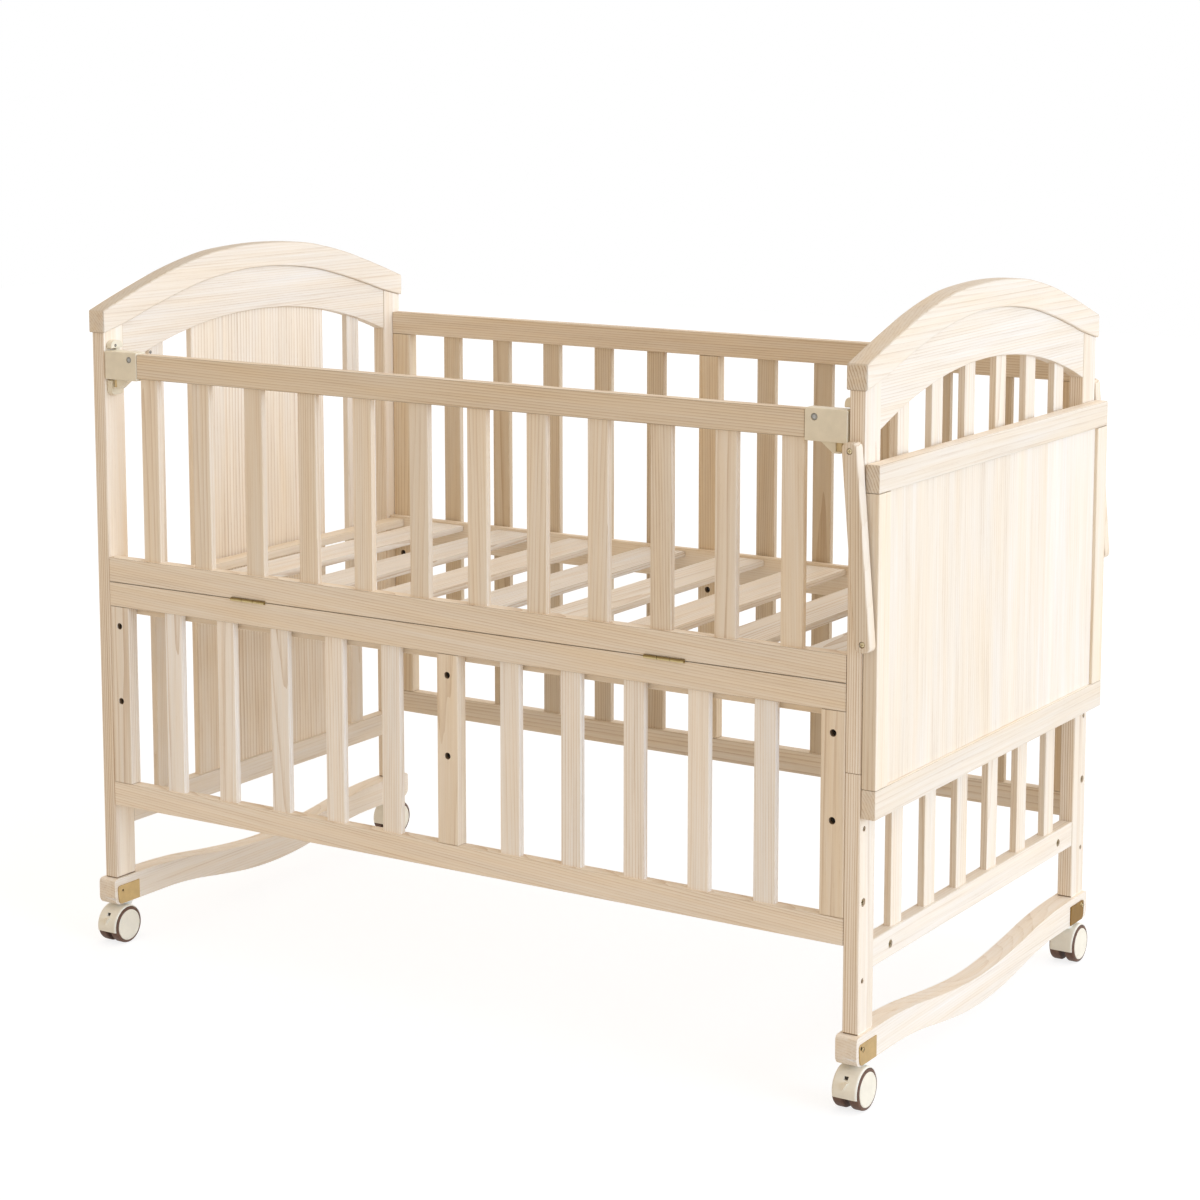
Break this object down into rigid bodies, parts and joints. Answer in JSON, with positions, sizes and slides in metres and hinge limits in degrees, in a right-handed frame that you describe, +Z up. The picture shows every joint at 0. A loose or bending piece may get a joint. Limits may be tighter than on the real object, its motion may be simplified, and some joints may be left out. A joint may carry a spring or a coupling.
{
  "type": "convertible crib",
  "caption": "Slatted pine crib with a fold-down gate, a swing-over table panel at one end, rockers and swivelling twin-wheel casters.",
  "frame": {"origin": "middle of the footprint on the floor, under the casters (bottom centre of the bounding box)", "axes": "+X towards the end that carries the table panel, -Y towards the folding gate, +Z up"},
  "size_m": [1.0645, 0.6306, 0.848],
  "materials": {
    "wood": "bare sanded pine",
    "plastic": "cream satin",
    "brass": "brushed",
    "wheel": "matt dark brown tread"
  },
  "bodies": {
    "frame": {"left_post_front": "wood", "left_post_back": "wood", "left_cap": "wood", "left_apron": "wood", "left_rail": "wood", "left_board": "wood", "left_slat_front": "wood", "left_slat_back": "wood", "right_post_front_lower": "wood", "right_post_front_upper": "wood", "right_post_back_lower": "wood", "right_post_back_upper": "wood", "right_cap": "wood", "right_apron": "wood", "right_rail_slats": "wood", "rocker_left": "wood", "rocker_right": "wood", "foot_plate_left_front": "brass", "foot_plate_left_back": "brass", "foot_plate_right_front": "brass", "foot_plate_right_back": "brass", "front_top_rail": "wood", "front_rail_slats": "wood", "front_stile_left": "wood", "front_stile_centre": "wood", "front_stile_right": "wood", "back_top_rail": "wood", "back_rail_slats": "wood", "base_rail_slats": "wood", "base_rail_back": "wood", "base_end_left": "wood", "base_end_right": "wood", "latch_catch_left": "plastic", "latch_catch_right": "plastic", "hinge_left_lower": "brass", "hinge_right_lower": "brass"},
    "gate": {"gate_top_rail": "wood", "gate_rail_slats": "wood", "latch_housing_left": "plastic", "latch_housing_right": "plastic", "hinge_left_upper": "brass", "hinge_right_upper": "brass"},
    "latch_lever_left": {"latch_lever_left": "plastic"},
    "latch_lever_right": {"latch_lever_right": "plastic"},
    "table_panel": {"table_rail_bottom": "wood", "table_rail_top": "wood", "table_stile_front": "wood", "table_stile_back": "wood", "table_board": "wood"},
    "table_arms": {"table_arm_front": "wood", "table_arm_back": "wood"},
    "caster_left_front": {"caster_left_front_fork": "plastic"},
    "caster_left_front_wheels": {"caster_left_front_wheels": "wheel"},
    "caster_left_back": {"caster_left_back_fork": "plastic"},
    "caster_left_back_wheels": {"caster_left_back_wheels": "wheel"},
    "caster_right_front": {"caster_right_front_fork": "plastic"},
    "caster_right_front_wheels": {"caster_right_front_wheels": "wheel"},
    "caster_right_back": {"caster_right_back_fork": "plastic"},
    "caster_right_back_wheels": {"caster_right_back_wheels": "wheel"}
  },
  "joints": [
    {"name": "gate_fold", "type": "hinge", "parent": "frame", "child": "gate", "pos_m": [-0.00475, -0.2986, 0.4559], "axis": [1, 0, 0], "range_deg": [0, 180]},
    {"name": "latch_release_left", "type": "slide", "parent": "gate", "child": "latch_lever_left", "axis": [0, 0, 1], "range_m": [0, 0.0035]},
    {"name": "latch_release_right", "type": "slide", "parent": "gate", "child": "latch_lever_right", "axis": [0, 0, 1], "range_m": [0, 0.0035]},
    {"name": "table_swing", "type": "hinge", "parent": "frame", "child": "table_arms", "pos_m": [0.50625, 0, 0.6988], "axis": [0, -1, 0], "range_deg": [0, 231.5]},
    {"name": "table_tilt", "type": "hinge", "parent": "table_arms", "child": "table_panel", "pos_m": [0.52325, 0, 0.5023], "axis": [0, -1, 0], "range_deg": [-122.71, 0]},
    {"name": "caster_left_front_swivel", "type": "hinge", "parent": "frame", "child": "caster_left_front", "pos_m": [-0.51575, -0.2722, 0.05], "axis": [0, 0, 1], "continuous": true},
    {"name": "caster_left_front_roll", "type": "hinge", "parent": "caster_left_front", "child": "caster_left_front_wheels", "pos_m": [-0.51575, -0.2842, 0.0224], "axis": [1, 0, 0], "continuous": true},
    {"name": "caster_left_back_swivel", "type": "hinge", "parent": "frame", "child": "caster_left_back", "pos_m": [-0.51575, 0.267, 0.05], "axis": [0, 0, 1], "continuous": true},
    {"name": "caster_left_back_roll", "type": "hinge", "parent": "caster_left_back", "child": "caster_left_back_wheels", "pos_m": [-0.51575, 0.279, 0.0224], "axis": [1, 0, 0], "continuous": true},
    {"name": "caster_right_front_swivel", "type": "hinge", "parent": "frame", "child": "caster_right_front", "pos_m": [0.50625, -0.2722, 0.05], "axis": [0, 0, 1], "continuous": true},
    {"name": "caster_right_front_roll", "type": "hinge", "parent": "caster_right_front", "child": "caster_right_front_wheels", "pos_m": [0.50625, -0.2842, 0.0224], "axis": [1, 0, 0], "continuous": true},
    {"name": "caster_right_back_swivel", "type": "hinge", "parent": "frame", "child": "caster_right_back", "pos_m": [0.50625, 0.267, 0.05], "axis": [0, 0, 1], "continuous": true},
    {"name": "caster_right_back_roll", "type": "hinge", "parent": "caster_right_back", "child": "caster_right_back_wheels", "pos_m": [0.50625, 0.279, 0.0224], "axis": [1, 0, 0], "continuous": true}
  ],
  "couplings": [
    {"joint": "table_tilt", "follows": "table_swing", "ratio": -0.53}
  ]
}
